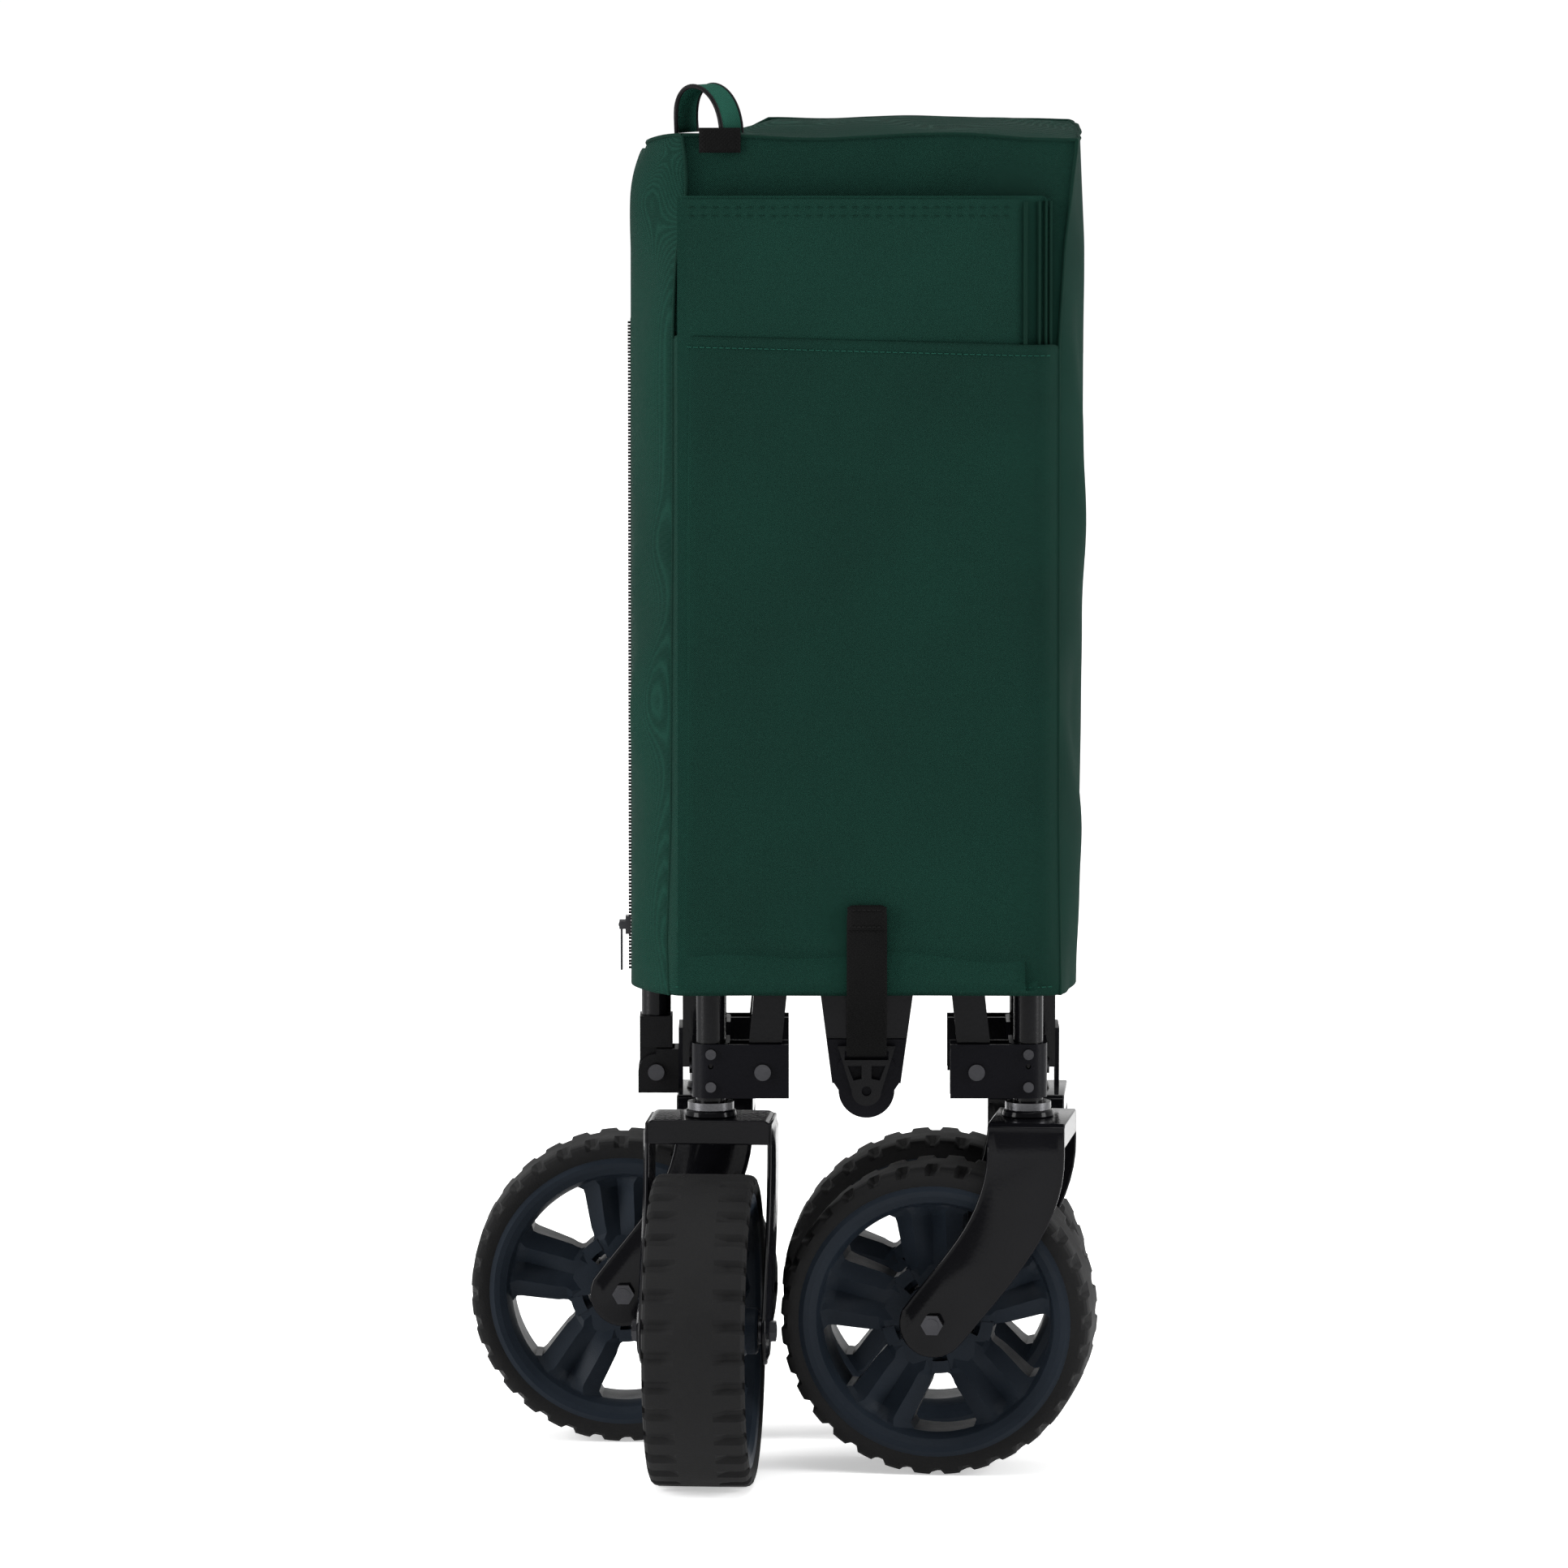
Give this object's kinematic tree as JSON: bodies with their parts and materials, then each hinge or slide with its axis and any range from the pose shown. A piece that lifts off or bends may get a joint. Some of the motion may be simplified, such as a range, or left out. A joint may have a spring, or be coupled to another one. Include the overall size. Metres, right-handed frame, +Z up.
{
  "type": "folding utility wagon with pull handle",
  "caption": "Folding utility wagon stood upright on swivel casters, folded under a zipped storage cover, with a telescopic pull handle and a canopy in the pocket.",
  "frame": {"origin": "on the floor midway between the four corner posts", "axes": "+Z up, X along the wagon with the pull handle at -X, the near long side faces -Y"},
  "size_m": [0.3854, 0.321, 0.847],
  "materials": {
    "gloss_black_tube": "gloss powder coat",
    "gloss_black_fork": "gloss powder coat",
    "black_bracket": "satin black paint",
    "dark_steel": "dark zinc",
    "bearing_steel": "plain steel",
    "black_plastic": "moulded matte",
    "grey_plastic": "moulded matte",
    "inner_tube": "satin",
    "rim_plastic": "moulded blue-grey",
    "tread": "moulded tread",
    "zip_metal": "black",
    "black_webbing": "woven webbing",
    "green_webbing": "woven webbing",
    "tub_cloth": "coated polyester",
    "canopy_cloth": "smooth polyester",
    "cover_cloth": "smooth polyester"
  },
  "bodies": {
    "frame": {"corner_posts": "gloss_black_tube", "bracket_near_left": "black_bracket", "bracket_near_right": "black_bracket", "bracket_far_left": "black_bracket", "bracket_far_right": "black_bracket", "bracket_bolts": "dark_steel", "scissor_rivets": "dark_steel", "caster_sockets": "bearing_steel", "scissor_near_inner": "gloss_black_tube", "scissor_near_outer": "gloss_black_tube", "scissor_far_inner": "gloss_black_tube", "scissor_far_outer": "gloss_black_tube", "scissor_front_inner": "gloss_black_tube", "scissor_front_outer": "gloss_black_tube", "scissor_rear_inner": "gloss_black_tube", "scissor_rear_outer": "gloss_black_tube", "lower_hub_near": "black_bracket", "lower_hub_far": "black_bracket", "lower_hub_front": "black_bracket", "lower_hub_rear": "black_bracket", "upper_fittings": "black_plastic", "folded_tub": "tub_cloth", "strap_clip": "black_plastic", "hook_strap": "black_webbing", "handle_yoke": "black_plastic", "handle_pivot_bolt": "dark_steel"},
    "caster_near_left": {"fork_near_left": "gloss_black_fork", "bolts_near_left": "dark_steel"},
    "wheel_near_left": {"rim_near_left": "rim_plastic", "tyre_near_left": "tread"},
    "caster_near_right": {"fork_near_right": "gloss_black_fork", "bolts_near_right": "dark_steel"},
    "wheel_near_right": {"rim_near_right": "rim_plastic", "tyre_near_right": "tread"},
    "caster_far_left": {"fork_far_left": "gloss_black_fork", "bolts_far_left": "dark_steel"},
    "wheel_far_left": {"rim_far_left": "rim_plastic", "tyre_far_left": "tread"},
    "caster_far_right": {"fork_far_right": "gloss_black_fork", "bolts_far_right": "dark_steel"},
    "wheel_far_right": {"rim_far_right": "rim_plastic", "tyre_far_right": "tread"},
    "handle": {"handle_socket": "black_plastic", "handle_outer_tube": "gloss_black_tube"},
    "handle_extension": {"handle_inner_tube": "inner_tube", "handle_grip": "black_plastic"},
    "button": {"handle_button": "grey_plastic"},
    "cover": {"cover_front": "cover_cloth", "cover_back": "cover_cloth", "cover_left": "cover_cloth", "cover_right": "cover_cloth", "cover_top": "cover_cloth", "cover_pocket": "cover_cloth", "zip_tape": "black_webbing", "carry_loop": "green_webbing", "loop_patch": "black_webbing"},
    "canopy": {"folded_canopy": "canopy_cloth"},
    "slider": {"zip_slider": "zip_metal"},
    "pull": {"zip_pull": "zip_metal"}
  },
  "joints": [
    {"name": "swivel_near_left", "type": "hinge", "parent": "frame", "child": "caster_near_left", "pos_m": [-0.0965, -0.062, 0.23], "axis": [0, 0, 1], "range_deg": [-22, 14]},
    {"name": "spin_near_left", "type": "hinge", "parent": "caster_near_left", "child": "wheel_near_left", "pos_m": [-0.10027, -0.11587, 0.0945], "axis": [-0.9976, 0.0698, 0], "continuous": true},
    {"name": "swivel_near_right", "type": "hinge", "parent": "frame", "child": "caster_near_right", "pos_m": [0.0965, -0.062, 0.23], "axis": [0, 0, 1], "range_deg": [-20, 180]},
    {"name": "spin_near_right", "type": "hinge", "parent": "caster_near_right", "child": "wheel_near_right", "pos_m": [0.0429, -0.05542, 0.0945], "axis": [0.1219, 0.9925, 0], "continuous": true},
    {"name": "swivel_far_left", "type": "hinge", "parent": "frame", "child": "caster_far_left", "pos_m": [-0.0965, 0.062, 0.23], "axis": [0, 0, 1], "range_deg": [-8, 6]},
    {"name": "spin_far_left", "type": "hinge", "parent": "caster_far_left", "child": "wheel_far_left", "pos_m": [-0.15049, 0.06294, 0.0945], "axis": [0.0175, 0.9998, 0], "continuous": true},
    {"name": "swivel_far_right", "type": "hinge", "parent": "frame", "child": "caster_far_right", "pos_m": [0.0965, 0.062, 0.23], "axis": [0, 0, 1], "range_deg": [-180, 20]},
    {"name": "spin_far_right", "type": "hinge", "parent": "caster_far_right", "child": "wheel_far_right", "pos_m": [0.04257, 0.06483, 0.0945], "axis": [0.0523, 0.9986, 0], "continuous": true},
    {"name": "handle_swing", "type": "hinge", "parent": "frame", "child": "handle", "pos_m": [-0.1303, 0, 0.238], "axis": [0, -1, 0], "range_deg": [-0.7, 0.2]},
    {"name": "handle_telescope", "type": "slide", "parent": "handle", "child": "handle_extension", "axis": [0, 0, 1], "range_m": [0, 0.19]},
    {"name": "button_press", "type": "slide", "parent": "handle_extension", "child": "button", "axis": [1, 0, 0], "range_m": [0, 0.0025], "stiffness_N_per_m": 200},
    {"name": "cover_lift", "type": "slide", "parent": "frame", "child": "cover", "axis": [0, 0, 1], "range_m": [0, 0.6]},
    {"name": "canopy_lift", "type": "slide", "parent": "cover", "child": "canopy", "axis": [0, 0, 1], "range_m": [0, 0.45]},
    {"name": "zip_slide", "type": "slide", "parent": "cover", "child": "slider", "axis": [0, 0, 1], "range_m": [0, 0.36]},
    {"name": "zip_pull_swing", "type": "hinge", "parent": "slider", "child": "pull", "pos_m": [-0.1515, 0, 0.3275], "axis": [0, 1, 0], "range_deg": [0, 110]}
  ]
}
